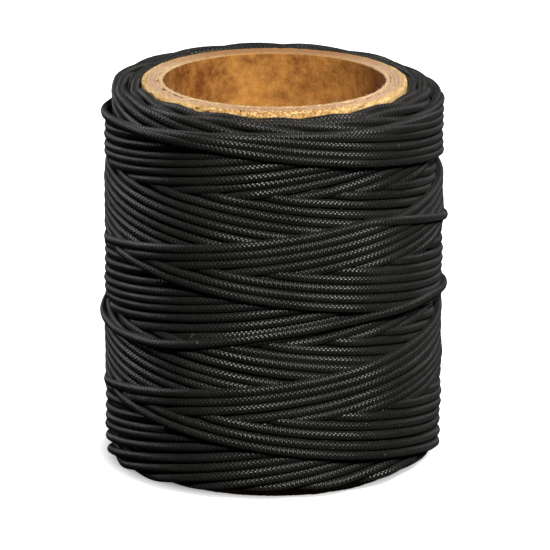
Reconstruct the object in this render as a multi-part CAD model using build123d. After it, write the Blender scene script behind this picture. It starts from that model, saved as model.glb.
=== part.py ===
from build123d import *
import os

# A waxed thread spool: a spiral-wound paperboard tube core, open at both ends and with no flanges,
# and one long braided thread cross-wound on it. Millimetres, +Z up. The spool stands on one cut
# end of its core, and the origin is the middle of that end.

# Core: a standard one-inch bore, and plies of paperboard glued one on the other.
CORE_LENGTH = 45.0
CORE_BORE_DIAMETER = 25.4
PLY_THICKNESS = 0.484
PLY_NAMES = ["core_liner_ply", "core_inner_ply", "core_middle_ply", "core_outer_ply", "core_wrap_ply"]

# Winding: it starts a little above the bottom end of the core and stops just below the top end.
WINDING_DIAMETER = 38.8
WINDING_BOTTOM = 1.8
WINDING_TOP = 44.5
SHOULDER_RISE = 3.2     # height of a rounded shoulder, where the thread turns back
SHOULDER_INSET = 2.0    # how far the shoulder comes in from the full radius


def core_ply(index):
    """One ply of the core's wall: a plain tube, face to face with its neighbours."""
    inner_radius = CORE_BORE_DIAMETER / 2 + index * PLY_THICKNESS
    outer_radius = inner_radius + PLY_THICKNESS
    floor = (Align.CENTER, Align.CENTER, Align.MIN)
    return Cylinder(outer_radius, CORE_LENGTH, align=floor) - Cylinder(inner_radius, CORE_LENGTH, align=floor)


def thread_winding():
    """The outer shape of the whole winding: a sleeve that fits the core, with a rounded shoulder at each end."""
    inner_radius = CORE_BORE_DIAMETER / 2 + len(PLY_NAMES) * PLY_THICKNESS
    outer_radius = WINDING_DIAMETER / 2
    crest_radius = outer_radius - SHOULDER_INSET
    lower_edge = WINDING_BOTTOM + SHOULDER_RISE
    upper_edge = WINDING_TOP - SHOULDER_RISE
    with BuildPart() as sleeve:
        with BuildSketch(Plane.XZ):
            with BuildLine():
                Line((inner_radius, WINDING_TOP), (inner_radius, WINDING_BOTTOM))
                Line((inner_radius, WINDING_BOTTOM), (crest_radius, WINDING_BOTTOM))
                EllipticalCenterArc(
                    (crest_radius, lower_edge), SHOULDER_INSET, SHOULDER_RISE, start_angle=270, arc_size=90
                )
                Line((outer_radius, lower_edge), (outer_radius, upper_edge))
                EllipticalCenterArc(
                    (crest_radius, upper_edge), SHOULDER_INSET, SHOULDER_RISE, start_angle=0, arc_size=90
                )
                Line((crest_radius, WINDING_TOP), (inner_radius, WINDING_TOP))
            make_face()
        revolve(axis=Axis.Z)
    return sleeve.part


def build_nodes():
    """Every separate piece, by the name of its node."""
    nodes = {name: core_ply(index) for index, name in enumerate(PLY_NAMES)}
    nodes["thread_winding"] = thread_winding()
    return nodes


os.makedirs("parts", exist_ok=True)
for node_name, solid in build_nodes().items():
    export_step(solid, os.path.join("parts", node_name + ".step"))
    print(node_name, round(solid.volume, 1), "mm3")
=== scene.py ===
import math

import bpy
import numpy as np
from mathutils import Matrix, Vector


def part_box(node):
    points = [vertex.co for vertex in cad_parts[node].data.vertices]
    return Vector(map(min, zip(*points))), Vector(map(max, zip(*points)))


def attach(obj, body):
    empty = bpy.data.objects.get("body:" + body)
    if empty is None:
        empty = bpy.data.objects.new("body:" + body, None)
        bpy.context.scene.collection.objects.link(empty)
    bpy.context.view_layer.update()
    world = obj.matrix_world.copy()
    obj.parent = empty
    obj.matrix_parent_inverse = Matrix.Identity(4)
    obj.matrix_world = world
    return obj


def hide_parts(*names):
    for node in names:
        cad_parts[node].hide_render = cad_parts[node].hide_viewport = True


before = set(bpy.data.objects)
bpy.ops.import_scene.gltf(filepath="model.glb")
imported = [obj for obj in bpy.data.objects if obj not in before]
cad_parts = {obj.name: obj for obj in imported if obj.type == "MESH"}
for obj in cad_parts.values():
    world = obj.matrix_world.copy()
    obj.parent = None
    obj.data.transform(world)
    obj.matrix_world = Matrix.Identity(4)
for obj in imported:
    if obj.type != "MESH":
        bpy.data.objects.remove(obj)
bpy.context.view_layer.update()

# A spool of black waxed braided thread, cross-wound on an open paperboard core. +Z is up, the front is
# towards -Y. The winding and the core's cut ends are worked out in millimetres, and become metres when
# their curve and meshes are made. Everything else is in metres.

core_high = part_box("core_wrap_ply")[1]
CORE_RADIUS, CORE_TOP = core_high[0], core_high[2]
MM = 0.001


def add_object(name, data):
    """A new object in the scene, made from its mesh, curve, light or camera data."""
    thing = bpy.data.objects.new(name, data)
    bpy.context.collection.objects.link(thing)
    return thing


# ---------------------------------------------------------------- camera

CAMERA_DISTANCE = 0.6
CAMERA_HEIGHT_ANGLE = math.radians(16.05)
CAMERA_ROLL = math.radians(0.21)
CAMERA_SHIFT = (0.0026, -0.0061)
LOOK_AT_HEIGHT = 0.0222
LENS_MM = 341.5
SENSOR_MM = 36


def add_camera():
    """A long lens from a little above, as a product is photographed."""
    data = bpy.data.cameras.new("camera")
    data.lens = LENS_MM
    data.sensor_width = SENSOR_MM
    data.shift_x, data.shift_y = CAMERA_SHIFT
    data.clip_start = 0.01
    camera = add_object("camera", data)
    camera.location = (
        0,
        -CAMERA_DISTANCE * math.cos(CAMERA_HEIGHT_ANGLE),
        LOOK_AT_HEIGHT + CAMERA_DISTANCE * math.sin(CAMERA_HEIGHT_ANGLE),
    )
    camera.rotation_mode = "XYZ"
    camera.rotation_euler = (math.pi / 2 - CAMERA_HEIGHT_ANGLE, 0, 0)
    bpy.context.view_layer.update()
    camera.rotation_euler.rotate_axis("Z", CAMERA_ROLL)
    bpy.context.scene.camera = camera


# ---------------------------------------------------------------- winding: the thread's route

THREAD_WIDTH = 1.0              # mm, across the thread as it lies
THREAD_HEIGHT = 0.94            # mm, a little flattened by the winding's tension
# These five and WOUND_TURNS were set by trial, until the assumed length made a winding of the right
# radius. Turns press into each other where they cross.
CONTACT_WIDTH = 0.7             # mm of its width that carries it over another: its soft sides give way
LAYER_HEIGHT = 0.80             # mm that one crossing thread adds, because both give a little
RIDGE_GIVE = 1.6                # share of that lost for each mm it stands over the even winding
LEAST_SHARE, MOST_SHARE = 0.45, 1.1     # least and most of a layer's height that a crossing adds
WOUND_RADIUS = 19.15            # mm: the winding's surface under its last crossings
CORE_SURFACE = CORE_RADIUS / MM

SAMPLES_PER_TURN = 96
WOUND_TURNS = 206               # before the hand-led ones
LEAD = 17.0                     # mm climbed or fallen in one turn, at the outside of the winding
INNER_EXTRA_LEAD = 0.1          # mm more than that on the bare core
SPACING = 1.06                  # mm between a turn and the one laid beside it, one cycle later
TURNS_PER_CYCLE = 5 - SPACING / LEAD
LOWEST_TURN = 2.2               # mm: where the strokes would turn back if they turned sharply

# A stroke turns back over some degrees of the spool: at the top on the bare core, how much more at the
# outside of the winding, and the share of both at the bottom.
TURN_BACK_DEGREES = 10
TURN_BACK_GROWTH = 30
LOW_TURN_BACK = 0.3

# The turns next to the ends slip outwards, further on one side of the spool, in mm. At the top, the
# outermost ones sag back instead: all of them a little, and more at the left and right.
END_SLIP_DEPTH = 3.5            # mm from an end in which the slip fades
TOP_SLIP_SIDE = math.radians(215)
TOP_SLIP_ON_CORE = 0.3
TOP_SLIP_GROWTH = 1.7
TOP_SAG = 0.9
TOP_SAG_AT_SIDES = 1.1
BOTTOM_SLIP_SIDE = math.radians(210)
BOTTOM_SLIP_ON_CORE = 0.15
BOTTOM_SLIP_GROWTH = 0.6
BOTTOM_SLIP_ONE_SIDE = 1.35

WANDER = 0.045                  # mm of each wave of the thread's drift
WANDER_PERIODS = (0.83, 1.31, 2.27, 3.9, 7.3)   # turns

# The last upward stroke passes the front of the spool at this height. Turns are counted from there,
# back and on.
LAST_STROKE_FRONT_HEIGHT = 31.2
LAST_LOW_POINT = -(LAST_STROKE_FRONT_HEIGHT - LOWEST_TURN) / LEAD

# The last turn and a half is led by hand: degrees round from the front, height in mm.
HAND_LED = [
    (35, 32.7), (50, 32.0), (68, 30.8), (88, 29.3), (130, 27.0), (170, 24.6), (205, 21.9),
    (235, 19.4), (262, 17.9), (290, 17.5), (318, 17.8), (340, 19.1), (360, 20.3), (382, 21.2),
    (404, 21.7), (424, 21.9), (446, 21.3), (475, 20.2), (505, 19.6), (530, 19.3),
]


def traverse_height(turn):
    """Height of the thread's middle, as the machine's guide and the thread's tension lay it."""
    wound = np.clip(1 + turn / WOUND_TURNS, 0, 1)
    lead = LEAD + INNER_EXTRA_LEAD * (1 - wound**3)
    highest_turn = LOWEST_TURN + lead * TURNS_PER_CYCLE / 2
    in_cycle = (turn - LAST_LOW_POINT) % TURNS_PER_CYCLE
    from_low = np.minimum(in_cycle, TURNS_PER_CYCLE - in_cycle)
    from_high = TURNS_PER_CYCLE / 2 - from_low
    height = LOWEST_TURN + lead * from_low
    reach = (TURN_BACK_DEGREES + TURN_BACK_GROWTH * wound**3) / 360
    low_reach = LOW_TURN_BACK * reach
    at_low = LOWEST_TURN + lead * (from_low**2 + low_reach**2) / (2 * low_reach)
    at_high = highest_turn - lead * (from_high**2 + reach**2) / (2 * reach)
    height = np.where(from_low < low_reach, at_low, height)
    height = np.where(from_high < reach, at_high, height)
    angle = 2 * math.pi * turn
    return height + slip_up(height, highest_turn, angle, wound) - slip_down(height, angle, wound)


def slip_up(height, highest_turn, angle, wound):
    """How far the turns next to the top slip towards it."""
    one_side = 0.5 + 0.5 * np.cos(angle - TOP_SLIP_SIDE)
    slipped = one_side * (TOP_SLIP_ON_CORE * (1 - wound) + TOP_SLIP_GROWTH * wound * (1 - wound**4))
    sagged = TOP_SAG * wound**6 + TOP_SAG_AT_SIDES * np.sin(angle) ** 2 * wound**3
    return (slipped - sagged) * np.exp((height - highest_turn) / END_SLIP_DEPTH)


def slip_down(height, angle, wound):
    """How far the turns next to the bottom slip towards it."""
    one_side = 0.5 + 0.5 * np.cos(angle - BOTTOM_SLIP_SIDE)
    slipped = BOTTOM_SLIP_ON_CORE + BOTTOM_SLIP_GROWTH * wound + BOTTOM_SLIP_ONE_SIDE * one_side
    return slipped * np.exp((LOWEST_TURN - height) / END_SLIP_DEPTH)


def wander(turn):
    """Small drift of the thread to either side, so that no two gaps are alike."""
    return sum(WANDER * np.sin(2 * math.pi * turn / period + 5 * period) for period in WANDER_PERIODS)


def taut(radius):
    """A pulled thread bridges the dips: no stretch lies inside the straight line between its supports."""
    step = 2 * math.pi / SAMPLES_PER_TURN
    for reach in (8, 4, 2, 1, 2, 1):
        before, after = radius[: -2 * reach], radius[2 * reach:]
        bridge = 2 * before * after * math.cos(reach * step) / (before + after)
        radius[reach:-reach] = np.maximum(radius[reach:-reach], bridge)
    return radius


def lay_thread(turn, height):
    """Lay the thread on what is already wound, a third of a turn at a time, and pull it taut.

    The wound surface is kept as a radius for each sample round the spool and each small step of height.
    Returned are the radius of the thread's middle, and the share of a full layer that it adds there.
    """
    row_step = 0.05
    across = int(CONTACT_WIDTH / 2 / row_step)
    offsets = np.arange(-across, across + 1)
    crown = LAYER_HEIGHT / 2 * np.sqrt(1 - (offsets / (across + 0.5)) ** 2)
    rows = int(CORE_TOP / MM / row_step) + 4 * across
    surface = np.full((SAMPLES_PER_TURN, rows), CORE_SURFACE)
    column = np.round(turn * SAMPLES_PER_TURN).astype(int) % SAMPLES_PER_TURN
    row = np.round(height / row_step).astype(int)
    wound = np.clip(1 + turn / WOUND_TURNS, 0, 1)
    even_build = np.sqrt(CORE_SURFACE**2 + wound * (WOUND_RADIUS**2 - CORE_SURFACE**2))
    radius = np.empty(len(turn))
    squash = np.empty(len(turn))
    block, ahead = SAMPLES_PER_TURN // 3, SAMPLES_PER_TURN // 8
    for start in range(0, len(turn), block):
        end = min(start + block, len(turn))
        seen = slice(start, min(end + ahead, len(turn)))
        under = surface[column[seen, None], row[seen, None] + offsets]
        ridge = under.max(axis=1) - even_build[seen]
        give = np.clip(1 - RIDGE_GIVE * ridge, LEAST_SHARE, MOST_SHARE)
        resting = (under + crown * give[:, None]).max(axis=1)
        tail = radius[max(start - ahead, 0): start]
        count = end - start
        pulled = taut(np.concatenate([tail, resting]))
        radius[start:end] = pulled[len(tail): len(tail) + count]
        squash[start:end] = give[:count]
        laid = (column[start:end, None], row[start:end, None] + offsets)
        surface[laid] = np.maximum(surface[laid], radius[start:end, None] + crown * give[:count, None])
    return radius, squash


def smoothed(values, weights):
    """The values evened out along the thread, with the ends kept."""
    weights = np.array(weights) / sum(weights)
    reach = len(weights) // 2
    even = values.copy()
    even[reach:-reach] = np.convolve(values, weights, mode="valid")
    return even


def winding_route():
    """Points in mm along the thread's middle, from its start on the core to its loose end.

    With them comes the share of a full layer that the thread adds at each point.
    """
    hand_turns = np.array([degrees / 360 for degrees, height in HAND_LED])
    hand_heights = np.array([height for degrees, height in HAND_LED])
    first, last = -WOUND_TURNS * SAMPLES_PER_TURN, round(hand_turns[-1] * SAMPLES_PER_TURN)
    turn = np.arange(first, last + 1) / SAMPLES_PER_TURN
    height = traverse_height(turn) + wander(turn)
    by_hand = turn > hand_turns[0]
    height[by_hand] = np.interp(turn[by_hand], hand_turns, hand_heights)
    height = smoothed(height, [1, 2, 3, 2, 1])
    radius, squash = lay_thread(turn, height)
    radius = smoothed(radius, [1, 2, 1])
    angle = 2 * math.pi * turn
    points = np.stack([radius * np.sin(angle), -radius * np.cos(angle), height], axis=1)
    return points, smoothed(squash, [1, 2, 3, 2, 1])


# ---------------------------------------------------------------- thread: mesh

SIDES = 10                      # faces round the thread
COVER_TURNS = 95                # the outermost turns, which can be seen, take every point of the route
HIDDEN_STRIDE = 3               # the turns under them take one point in three
FLATTEST = 0.45                 # share of its height that a fully squashed thread would keep
STRANDS = 4                     # strands of the braid that run each way round
BRAID_REPEAT = 0.515            # mm along the thread
TWIST_LENGTH = 330.0            # mm of thread in which it rolls once
ROLL_SWAY = 0.3                 # turns that the roll sways to and fro
ROLL_SWAY_LENGTH = 47           # mm of thread for each radian of that sway


def route_spline(points):
    """The thread's route as one smooth NURBS curve, and the points that Blender reads along it."""
    curve = bpy.data.curves.new("thread_route", "CURVE")
    curve.dimensions = "3D"
    curve.resolution_u = 1
    spline = curve.splines.new("NURBS")
    spline.points.add(len(points) - 1)
    spline.points.foreach_set("co", np.column_stack([points * MM, np.ones(len(points))]).ravel())
    spline.order_u = 3
    spline.use_endpoint_u = True
    route = add_object("thread_route", curve)
    line = bpy.data.meshes.new_from_object(route)
    read = np.empty(len(line.vertices) * 3)
    line.vertices.foreach_get("co", read)
    bpy.data.objects.remove(route)
    bpy.data.meshes.remove(line)
    return read.reshape(-1, 3)


def unit(vectors):
    return vectors / np.linalg.norm(vectors, axis=1, keepdims=True)


def ring_axes(line):
    """For each point of the line: the way out from the spool's axis, and the way across the thread."""
    along = unit(np.gradient(line, axis=0))
    outward = line * (1, 1, 0)
    across = unit(np.cross(along, unit(outward)))
    return np.cross(across, along), across


def with_close_ends(line, squash):
    """Extra points close to the two ends of the line, where the heat-sealed thread rounds off."""
    shares = np.array([0.02, 0.08, 0.18, 0.32])[:, None]
    start = line[0] + shares * (line[1] - line[0])
    end = line[-1] + shares[::-1] * (line[-2] - line[-1])
    extra = len(shares)
    line = np.concatenate([line[:1], start, line[1:-1], end, line[-1:]])
    return line, np.concatenate([np.full(extra, squash[0]), squash, np.full(extra, squash[-1])])


def thread_rings(line, length, squash):
    """Rings of points round the line, flatter where squash is under 1, and closing at its ends."""
    outward, across = ring_axes(line)
    corner = np.arange(SIDES) * 2 * math.pi / SIDES
    from_end = np.clip(np.minimum(length, length[-1] - length) / (THREAD_WIDTH / 2 * MM), 0, 1)
    closing = np.sqrt(1 - (1 - from_end) ** 2)
    flattened = FLATTEST + (1 - FLATTEST) * np.clip(squash, 0, 1)
    half_height = THREAD_HEIGHT / 2 * MM * flattened * closing
    half_width = THREAD_WIDTH / 2 * MM * closing
    return (
        line[:, None, :]
        + outward[:, None, :] * (half_height[:, None] * np.cos(corner))[:, :, None]
        + across[:, None, :] * (half_width[:, None] * np.sin(corner))[:, :, None]
    )


def map_braid(mesh, length):
    """A UV map of the braid: millimetres along the thread, and turns round it with its slow roll."""
    along = length / MM
    roll = along / TWIST_LENGTH + ROLL_SWAY * np.sin(along / ROLL_SWAY_LENGTH)
    u = np.broadcast_to(along[:, None], (len(along), SIDES + 1))
    v = np.arange(SIDES + 1)[None, :] / SIDES + roll[:, None]
    corners = [
        np.stack([u[:-1, :-1], v[:-1, :-1]], axis=2), np.stack([u[:-1, 1:], v[:-1, 1:]], axis=2),
        np.stack([u[1:, 1:], v[1:, 1:]], axis=2), np.stack([u[1:, :-1], v[1:, :-1]], axis=2),
    ]
    mesh.uv_layers.new(name="braid").data.foreach_set("uv", np.stack(corners, axis=2).ravel())


def thread_mesh(line, squash):
    """A tube round the line, with the braid's UV map."""
    length = np.concatenate([[0], np.cumsum(np.linalg.norm(np.diff(line, axis=0), axis=1))])
    ring = np.arange(len(line) - 1)[:, None] * SIDES
    side = np.arange(SIDES)[None, :]
    after = (side + 1) % SIDES
    corners = [ring + side, ring + after, ring + SIDES + after, ring + SIDES + side]
    quads = np.stack(corners, axis=2).reshape(-1, 4)
    mesh = bpy.data.meshes.new("waxed_thread")
    mesh.vertices.add(len(line) * SIDES)
    mesh.vertices.foreach_set("co", thread_rings(line, length, squash).ravel())
    mesh.loops.add(quads.size)
    mesh.loops.foreach_set("vertex_index", quads.ravel())
    mesh.polygons.add(len(quads))
    mesh.polygons.foreach_set("loop_start", np.arange(len(quads)) * 4)
    mesh.polygons.foreach_set("use_smooth", np.ones(len(quads), bool))
    mesh.update(calc_edges=True)
    map_braid(mesh, length)
    return mesh


def add_thread():
    """The whole winding as the one thread that it is, from the core's surface to its loose end."""
    points, squash = winding_route()
    line = route_spline(points)
    place = np.linspace(0, len(points) - 1, len(line))
    squash = np.interp(place, np.arange(len(points)), squash)
    hidden = int(len(line) * (1 - COVER_TURNS / WOUND_TURNS))
    kept = np.concatenate([np.arange(0, hidden, HIDDEN_STRIDE), np.arange(hidden, len(line))])
    line, squash = with_close_ends(line[kept], squash[kept])
    thread = add_object("waxed_thread", thread_mesh(line, squash))
    thread.data.materials.append(thread_material())
    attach(thread, "root")
    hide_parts("thread_winding")


# ---------------------------------------------------------------- materials

class Nodes:
    """A new material's node tree, with short ways to add and join its nodes."""

    def __init__(self, name):
        self.material = bpy.data.materials.new(name)
        self.material.use_nodes = True
        self.tree = self.material.node_tree
        self.shader = self.tree.nodes["Principled BSDF"]

    def add(self, kind, **settings):
        node = self.tree.nodes.new(kind)
        for setting, value in settings.items():
            setattr(node, setting, value)
        return node

    def feed(self, socket, value):
        if isinstance(value, bpy.types.NodeSocket):
            self.tree.links.new(value, socket)
        else:
            socket.default_value = value

    def surface(self, **values):
        for name, value in values.items():
            self.feed(self.shader.inputs[name.replace("_", " ")], value)

    def math(self, operation, first, second=0.0, third=0.0):
        node = self.add("ShaderNodeMath", operation=operation)
        for socket, value in zip(node.inputs, (first, second, third)):
            self.feed(socket, value)
        return node.outputs[0]

    def mix(self, share, first, second):
        node = self.add("ShaderNodeMix", data_type="RGBA")
        self.feed(node.inputs["Factor"], share)
        self.feed(node.inputs["A"], first)
        self.feed(node.inputs["B"], second)
        return node.outputs["Result"]

    def noise(self, vector, scale, detail=2.0, roughness=0.5):
        node = self.add("ShaderNodeTexNoise")
        self.feed(node.inputs["Vector"], vector)
        self.feed(node.inputs["Scale"], scale)
        self.feed(node.inputs["Detail"], detail)
        self.feed(node.inputs["Roughness"], roughness)
        return node.outputs["Fac"]

    def fit(self, value, low, high, new_low=0.0, new_high=1.0):
        node = self.add("ShaderNodeMapRange")
        for name, number in (("Value", value), ("From Min", low), ("From Max", high)):
            self.feed(node.inputs[name], number)
        self.feed(node.inputs["To Min"], new_low)
        self.feed(node.inputs["To Max"], new_high)
        return node.outputs["Result"]

    def bump(self, height, distance, strength=1.0, normal=None):
        node = self.add("ShaderNodeBump")
        self.feed(node.inputs["Height"], height)
        self.feed(node.inputs["Distance"], distance)
        self.feed(node.inputs["Strength"], strength)
        if normal:
            self.feed(node.inputs["Normal"], normal)
        return node.outputs["Normal"]

    def place(self):
        return self.add("ShaderNodeTexCoord").outputs["Object"]

    def split(self, vector):
        node = self.add("ShaderNodeSeparateXYZ")
        self.feed(node.inputs[0], vector)
        return tuple(node.outputs)


def braid_height(nodes, along, around):
    """Height of a plain round braid, whose strands pass over and under each other in turn."""
    round_strands = nodes.math("MULTIPLY", around, STRANDS)
    repeats = nodes.math("DIVIDE", along, BRAID_REPEAT)
    one_way = nodes.math("ADD", round_strands, repeats)
    other_way = nodes.math("SUBTRACT", round_strands, repeats)
    crossing = nodes.math("ADD", nodes.math("FLOOR", one_way), nodes.math("FLOOR", other_way))
    over = nodes.math("PINGPONG", crossing, 1.0)
    under = nodes.math("SUBTRACT", 1.0, over)

    def hump(way):
        return nodes.math("SINE", nodes.math("MULTIPLY", nodes.math("FRACT", way), math.pi))

    def strand_top(way, crossed_way):
        return nodes.math("MULTIPLY", hump(way), nodes.math("POWER", hump(crossed_way), 0.4))

    first = nodes.math("MULTIPLY", strand_top(one_way, other_way), over)
    second = nodes.math("MULTIPLY", strand_top(other_way, one_way), under)
    return nodes.math("ADD", first, second)


def thread_material():
    """Black braided polyester with a skin of wax: dark strands, lighter worn crowns and waxy specks."""
    strand_dark, strand_light = (0.0065, 0.0065, 0.0068, 1), (0.013, 0.013, 0.0135, 1)
    crown_dark, crown_light = (0.0135, 0.0135, 0.0128, 1), (0.028, 0.0275, 0.0240, 1)
    wax = (0.10, 0.085, 0.06, 1)
    nodes = Nodes("waxed_thread")
    along, around = nodes.split(nodes.add("ShaderNodeUVMap", uv_map="braid").outputs["UV"])[:2]
    height = braid_height(nodes, along, around)
    place = nodes.place()
    patches = nodes.noise(place, 160, 3, 0.6)
    fibre = nodes.noise(place, 2600, 2, 0.7)
    specks = nodes.noise(place, 1700, 1, 0.5)
    strand = nodes.mix(nodes.fit(patches, 0.35, 0.7), strand_dark, strand_light)
    crown = nodes.mix(nodes.fit(fibre, 0.3, 0.75), crown_dark, crown_light)
    colour = nodes.mix(nodes.fit(height, 0.45, 1.0), strand, crown)
    colour = nodes.mix(nodes.fit(specks, 0.775, 0.80), colour, wax)
    relief = nodes.bump(height, 0.06 * MM)
    nodes.surface(
        Base_Color=colour, Roughness=nodes.fit(patches, 0.3, 0.75, 0.26, 0.38), Specular_IOR_Level=0.43,
        Sheen_Weight=0.03, Sheen_Roughness=0.5, Normal=nodes.bump(fibre, 0.004 * MM, normal=relief),
    )
    return nodes.material


def along_the_plies(nodes, x, y, z):
    """Coordinates that change fast from ply to ply, so that a noise in them runs round the core."""
    squared = nodes.math("ADD", nodes.math("MULTIPLY", x, x), nodes.math("MULTIPLY", y, y))
    layered = nodes.add("ShaderNodeCombineXYZ")
    nodes.feed(layered.inputs["X"], x)
    nodes.feed(layered.inputs["Y"], y)
    nodes.feed(layered.inputs["Z"], nodes.math("MULTIPLY_ADD", nodes.math("SQRT", squared), 7.0, z))
    return layered.outputs[0]


def kraft_face(nodes, place, x, blotches, light, dark):
    """Colour of the paper's face: blotched, and stained darker towards one side of the core."""
    clouds = nodes.noise(place, 170, 2, 0.5)
    stain = nodes.fit(x, -0.013, 0.002, 0.045, 0.0)
    shade = nodes.math("ADD", nodes.math("MULTIPLY", blotches, 0.65), nodes.math("MULTIPLY", clouds, 0.35))
    return nodes.mix(nodes.fit(nodes.math("SUBTRACT", shade, stain), 0.33, 0.61), dark, light)


def kraft_cut(nodes, place, y, streaks, cut_light, cut_dark):
    """Colour of the cut: torn and fibrous towards the front, and dull and smooth at the back."""
    deep = tuple(channel * share for channel, share in zip(cut_dark[:3], (0.7, 0.55, 0.4))) + (1,)
    dull = nodes.fit(y, 0.005, 0.0125, 0.0, 0.95)
    torn = nodes.fit(y, -0.010, -0.014)
    grains = nodes.noise(place, 3800, 2, 0.6)
    brown = nodes.math("MULTIPLY", torn, nodes.fit(grains, 0.45, 0.56))
    bright = nodes.math("MULTIPLY", torn, nodes.fit(grains, 0.45, 0.35, 0.0, 0.7))
    cut = nodes.mix(nodes.fit(streaks, 0.36, 0.62), cut_dark, cut_light)
    for share, colour in ((dull, deep), (brown, deep), (bright, cut_light)):
        cut = nodes.mix(share, cut, colour)
    return cut


def kraft_material(name, light, dark, cut_light, cut_dark, pale_reach):
    """Kraft paper: matt and blotched on its face, paler within pale_reach of its cut ends."""
    nodes = Nodes(name)
    place = nodes.place()
    x, y, z = nodes.split(place)
    layered = along_the_plies(nodes, x, y, z)
    blotches = nodes.noise(place, 650, 4, 0.75)
    streaks = nodes.noise(layered, 900, 3, 0.6)
    fibres = nodes.noise(layered, 2600, 3, 0.7)
    half_height = CORE_TOP / 2
    from_middle = nodes.math("ABSOLUTE", nodes.math("SUBTRACT", z, half_height))
    at_end = nodes.fit(from_middle, half_height - pale_reach, half_height - pale_reach / 3)
    face = kraft_face(nodes, place, x, blotches, light, dark)
    cut = kraft_cut(nodes, place, y, streaks, cut_light, cut_dark)
    fleck = tuple(channel * 0.55 for channel in cut_dark[:3]) + (1,)
    colour = nodes.mix(nodes.fit(fibres, 0.60, 0.80, 0.0, 0.7), nodes.mix(at_end, face, cut), fleck)
    coarse = nodes.bump(blotches, 0.12 * MM, 0.7)
    nodes.surface(
        Base_Color=colour, Roughness=nodes.fit(fibres, 0.2, 0.8, 0.72, 0.95), Specular_IOR_Level=0.3,
        Normal=nodes.bump(fibres, 0.07 * MM, 0.9, coarse),
    )
    return nodes.material


# ---------------------------------------------------------------- core

RING_STEPS = 400                # points round each ply
PLY_GAP = 0.001                 # mm of glue line on each side of a ply
END_SWELL = 0.05                # mm that the cut fibres stand past the core's measured length
TEAR_DEPTH = 0.8                # mm from an end in which its wear fades
FIRST_SEED = 40
LOOSE_FIBRES = 140              # on the edge of the bore
FIBRE_RINGS, FIBRE_SIDES = 4, 3
FIBRE_RADIUS = 0.024            # mm at its root

# A ply's cut end, from its outer face over the edge to its inner face: share of its thickness, mm below
# the end.
CUT_END = [
    (1.0, 22.5), (1.0, 3.0), (1.0, 1.2), (1.0, 0.8), (1.0, 0.5), (1.0, 0.25), (0.97, 0.02), (0.80, 0.0),
    (0.6, 0.0), (0.4, 0.0), (0.2, 0.0), (0.03, 0.02), (0.0, 0.25), (0.0, 0.7), (0.0, 1.5), (0.0, 4.0),
    (0.0, 9.0), (0.0, 15.0),
]

# Each ply's slot; its wear in mm: the drop of its outer edge, the split along its inner edge and the
# roughness of both; and its paper: colours of the face and of the cut, and how many metres below the
# end the pale cut reaches.
PLIES = {
    "core_liner_ply": {
        "slot": "kraft_liner",
        "wear": {"drop": 0.0, "split": 0.04, "rough": 0.09},
        "paper": {
            "light": (0.62, 0.28, 0.062, 1), "dark": (0.20, 0.060, 0.008, 1),
            "cut_light": (0.88, 0.64, 0.39, 1), "cut_dark": (0.70, 0.46, 0.24, 1), "pale_reach": 0.00018,
        },
    },
    "core_inner_ply": {
        "slot": "kraft_ply",
        "wear": {"drop": 0.02, "split": 0.60, "rough": 0.07},
        # The inner ply's face colours are dark. On view they show only in the splits of its cut end, deeper
        # than pale_reach, as painted shade in those grooves.
        "paper": {
            "light": (0.30, 0.14, 0.05, 1), "dark": (0.15, 0.065, 0.02, 1),
            "cut_light": (0.84, 0.57, 0.35, 1), "cut_dark": (0.62, 0.37, 0.19, 1), "pale_reach": 0.00016,
        },
    },
    "core_middle_ply": {
        "slot": "kraft_ply",
        "wear": {"drop": 0.02, "split": 0.08, "rough": 0.03},
        "paper": {
            "light": (0.36, 0.18, 0.07, 1), "dark": (0.20, 0.09, 0.03, 1),
            "cut_light": (0.78, 0.52, 0.37, 1), "cut_dark": (0.58, 0.36, 0.25, 1), "pale_reach": 0.00025,
        },
    },
    "core_outer_ply": {
        "slot": "kraft_ply",
        "wear": {"drop": 0.10, "split": 0.05, "rough": 0.05},
        "paper": {
            "light": (0.5, 0.3, 0.15, 1), "dark": (0.3, 0.17, 0.08, 1),
            "cut_light": (0.83, 0.56, 0.33, 1), "cut_dark": (0.61, 0.37, 0.19, 1), "pale_reach": 0.0005,
        },
    },
    "core_wrap_ply": {
        "slot": "kraft_wrap",
        "wear": {"drop": 0.36, "split": 0.05, "rough": 0.22},
        "paper": {
            "light": (0.74, 0.50, 0.20, 1), "dark": (0.52, 0.29, 0.09, 1),
            "cut_light": (0.95, 0.68, 0.34, 1), "cut_dark": (0.66, 0.38, 0.13, 1), "pale_reach": 0.0013,
        },
    },
}


def ragged(random, reach):
    """Uneven values round a ring, evened out over the neighbours within reach, about 1 in size."""
    values = random.normal(size=RING_STEPS)
    weights = np.hanning(2 * reach + 3)[1:-1]
    joined = np.concatenate([values[-reach:], values, values[:reach]])
    even = np.convolve(joined, weights, mode="valid")
    return even / even.std()


def cut_end_rings(random, inner, outer, drop, split, rough):
    """Radius and depth below the end of each ring over a ply's cut end, more torn towards the front."""
    front = 0.5 + 0.5 * np.cos(np.arange(RING_STEPS) * 2 * math.pi / RING_STEPS)
    worn = drop * (0.1 + 0.9 * front) * (1 + 0.5 * np.tanh(ragged(random, 9)))
    gaping = np.clip(0.7 * ragged(random, 5) + 0.4 * ragged(random, 1), 0, 1.2)
    opened = split * (0.15 + 0.85 * front**2) * gaping
    torn = rough * (0.35 + 0.65 * front**2)
    radii, depths = [], []
    for share, below in CUT_END:
        near = math.exp(-below / TEAR_DEPTH)
        wave = 0.5 * ragged(random, 1) + 0.8 * ragged(random, 4)
        sideways = 0.6 if share == 1 else 0.25
        radii.append(inner + (outer - inner) * share + torn * near * sideways * wave)
        wave = np.abs(0.6 * ragged(random, 1) + 0.6 * ragged(random, 3))
        sunk = worn * share**2 + opened * (1 - share) + torn * wave
        depths.append(below + near * sunk - END_SWELL)
    return radii, depths


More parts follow.
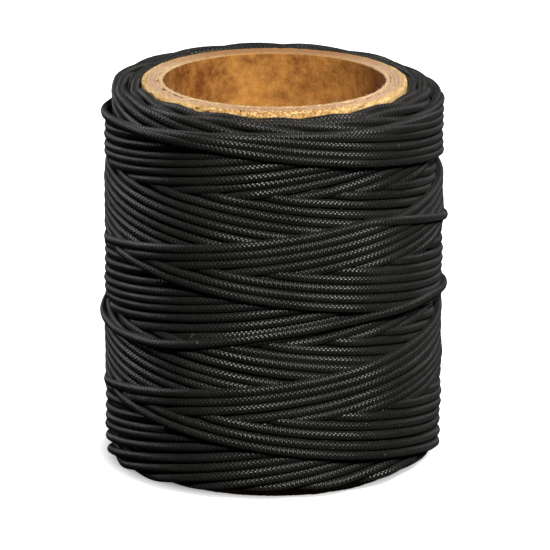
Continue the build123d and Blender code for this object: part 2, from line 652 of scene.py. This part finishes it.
def edge_fibres(random, radius, height, count):
    """Short fibres that stand out of a cut edge: thin three-sided tapered hairs, as points and faces."""
    points, faces = [], []
    for _ in range(count):
        angle = random.uniform(0, 2 * math.pi)
        outward = np.array([math.sin(angle), -math.cos(angle), 0])
        around = np.array([math.cos(angle), math.sin(angle), 0])
        up = np.array([0, 0, 1.0])
        inward, sideways, upward = random.uniform(0.1, 0.9), random.normal(0, 0.8), random.uniform(-0.2, 0.7)
        aim = -inward * outward + sideways * around + upward * up
        bend = random.normal(0, 0.5, 3)
        length = random.uniform(0.2, 0.6)
        start = outward * radius + up * height
        for ring in range(FIBRE_RINGS):
            share = ring / (FIBRE_RINGS - 1)
            middle = start + length * share * (aim + bend * share)
            thick = FIBRE_RADIUS * (1 - 0.8 * share)
            for side in range(FIBRE_SIDES):
                turn = side * 2 * math.pi / FIBRE_SIDES
                points.append(middle + thick * (math.cos(turn) * up + math.sin(turn) * around))
        first = len(points) - FIBRE_RINGS * FIBRE_SIDES
        for ring in range(FIBRE_RINGS - 1):
            low, high = first + ring * FIBRE_SIDES, first + (ring + 1) * FIBRE_SIDES
            for side in range(FIBRE_SIDES):
                after = (side + 1) % FIBRE_SIDES
                faces.append((low + side, low + after, high + after, high + side))
    return points, faces


def ply_tube(random, inner, outer, drop, split, rough):
    """Points and faces of one ply, its lower end less worn because it is pressed flat where it stands."""
    top = CORE_TOP / MM
    top_radii, top_depths = cut_end_rings(random, inner, outer, drop, split, rough)
    low_radii, low_depths = cut_end_rings(random, inner, outer, drop / 4, split / 2, rough / 4)
    radii = np.array(top_radii + low_radii[::-1])
    heights = np.array([top - depth for depth in top_depths] + low_depths[::-1])
    angle = np.arange(RING_STEPS) * 2 * math.pi / RING_STEPS
    points = np.stack([radii * np.sin(angle), -radii * np.cos(angle), heights], axis=2)
    rings = len(radii)
    ring, step = np.meshgrid(np.arange(rings), np.arange(RING_STEPS), indexing="ij")
    next_ring, next_step = (ring + 1) % rings, (step + 1) % RING_STEPS
    corners = [(ring, step), (ring, next_step), (next_ring, next_step), (next_ring, step)]
    quads = np.stack([at_ring * RING_STEPS + at_step for at_ring, at_step in corners], axis=2)
    return points.reshape(-1, 3), quads.reshape(-1, 4)


def add_ply(node, inner, outer, seed):
    """One paper ply of the core: a tube with ragged cut ends, and loose fibres on the bore's edge."""
    slot, wear, paper = PLIES[node]["slot"], PLIES[node]["wear"], PLIES[node]["paper"]
    random = np.random.default_rng(seed)
    points, faces = ply_tube(random, inner + PLY_GAP, outer - PLY_GAP, **wear)
    if node == "core_liner_ply":
        hairs, hair_faces = edge_fibres(random, inner + 0.02, CORE_TOP / MM, LOOSE_FIBRES)
        faces = np.concatenate([faces, np.array(hair_faces) + len(points)])
        points = np.concatenate([points, hairs])
    mesh = bpy.data.meshes.new(node.replace("_ply", "_paper"))
    mesh.from_pydata((points * MM).tolist(), [], faces.tolist())
    mesh.polygons.foreach_set("use_smooth", np.ones(len(faces), bool))
    mesh.materials.append(kraft_material(mesh.name, **paper))
    ply = add_object(mesh.name, mesh)
    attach(ply, "root")
    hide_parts(node)


def add_core():
    """The core's plies, from the bore outwards, each one ply's thickness inside its own outer face."""
    outers = [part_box(node)[1][0] / MM for node in PLIES]
    thickness = (outers[-1] - outers[0]) / (len(outers) - 1)
    for place, (node, outer) in enumerate(zip(PLIES, outers)):
        add_ply(node, outer - thickness, outer, FIRST_SEED + place)


# ---------------------------------------------------------------- floor and light

FLOOR_STEPS = 64
# The floor's outline from its middle out and up into the backdrop: radius, height.
FLOOR_PROFILE = [(0.0, 0.0), (1.9, 0.0), (2.3, 0.03), (2.6, 0.15), (2.8, 0.4), (2.9, 0.8), (2.9, 2.0)]
SHADOW_MIDDLE = (-0.001, 0.0035, 0)     # shifted away from the front light
SHADOW_DARK = 0.0165                    # radius within which the floor doesn't glow
SHADOW_END = 0.020
LIGHTS_AIM = (0, 0, 0.022)


def floor_material():
    """White paper that glows white, but for a soft round shadow under and close to the spool."""
    nodes = Nodes("floor")
    from_shadow = nodes.add("ShaderNodeVectorMath", operation="DISTANCE")
    nodes.feed(from_shadow.inputs[0], nodes.place())
    nodes.feed(from_shadow.inputs[1], SHADOW_MIDDLE)
    nodes.surface(
        Base_Color=(0.93, 0.93, 0.93, 1), Roughness=0.8, Emission_Color=(1, 1, 1, 1),
        Emission_Strength=nodes.fit(from_shadow.outputs["Value"], SHADOW_DARK, SHADOW_END),
    )
    nodes.material.cycles.emission_sampling = "NONE"
    return nodes.material


def add_floor():
    """A white floor that curves up into a white backdrop all round. It doesn't light the spool."""
    points, faces = [], []
    for radius, height in FLOOR_PROFILE:
        for step in range(FLOOR_STEPS):
            angle = step * 2 * math.pi / FLOOR_STEPS
            points.append((radius * math.cos(angle), radius * math.sin(angle), height))
    for ring in range(len(FLOOR_PROFILE) - 1):
        for step in range(FLOOR_STEPS):
            first = ring * FLOOR_STEPS + step
            second = ring * FLOOR_STEPS + (step + 1) % FLOOR_STEPS
            faces.append((first, second, second + FLOOR_STEPS, first + FLOOR_STEPS))
    mesh = bpy.data.meshes.new("floor")
    mesh.from_pydata(points, [], faces)
    mesh.materials.append(floor_material())
    floor = add_object("floor", mesh)
    floor.visible_diffuse = False
    floor.visible_glossy = False


def add_light(name, place, size, power, colour):
    """A soft box that faces the spool."""
    data = bpy.data.lights.new(name, "AREA")
    data.shape = "RECTANGLE"
    data.size, data.size_y = size
    data.energy = power
    data.color = colour
    light = add_object(name, data)
    light.location = place
    x, y, z = np.subtract(LIGHTS_AIM, place)
    light.rotation_euler = (math.atan2(math.hypot(x, y), -z), 0, math.atan2(y, x) - math.pi / 2)


def add_studio():
    """A bright soft box in front to the right, weak ones behind and above, and next to no other light."""
    world = bpy.data.worlds.new("studio")
    world.use_nodes = True
    background = world.node_tree.nodes["Background"]
    background.inputs["Color"].default_value = (1, 1, 1, 1)
    background.inputs["Strength"].default_value = 0.006
    world.cycles.sampling_method = "NONE"
    bpy.context.scene.world = world
    add_light("front_box", (0.36, -0.92, 0.80), (0.16, 0.16), 19, (1.0, 0.99, 0.91))
    add_light("left_box", (-0.80, 0.75, 0.45), (0.5, 0.8), 4.0, (0.97, 0.97, 1.0))
    add_light("right_box", (0.70, 0.85, 0.45), (0.5, 0.8), 1.7, (0.98, 0.98, 1.0))
    add_light("top_box", (-0.15, 0.30, 1.1), (0.6, 0.5), 1.9, (1.0, 0.99, 0.97))
    bpy.context.scene.view_settings.view_transform = "Standard"


add_camera()
add_thread()
add_core()
add_floor()
add_studio()
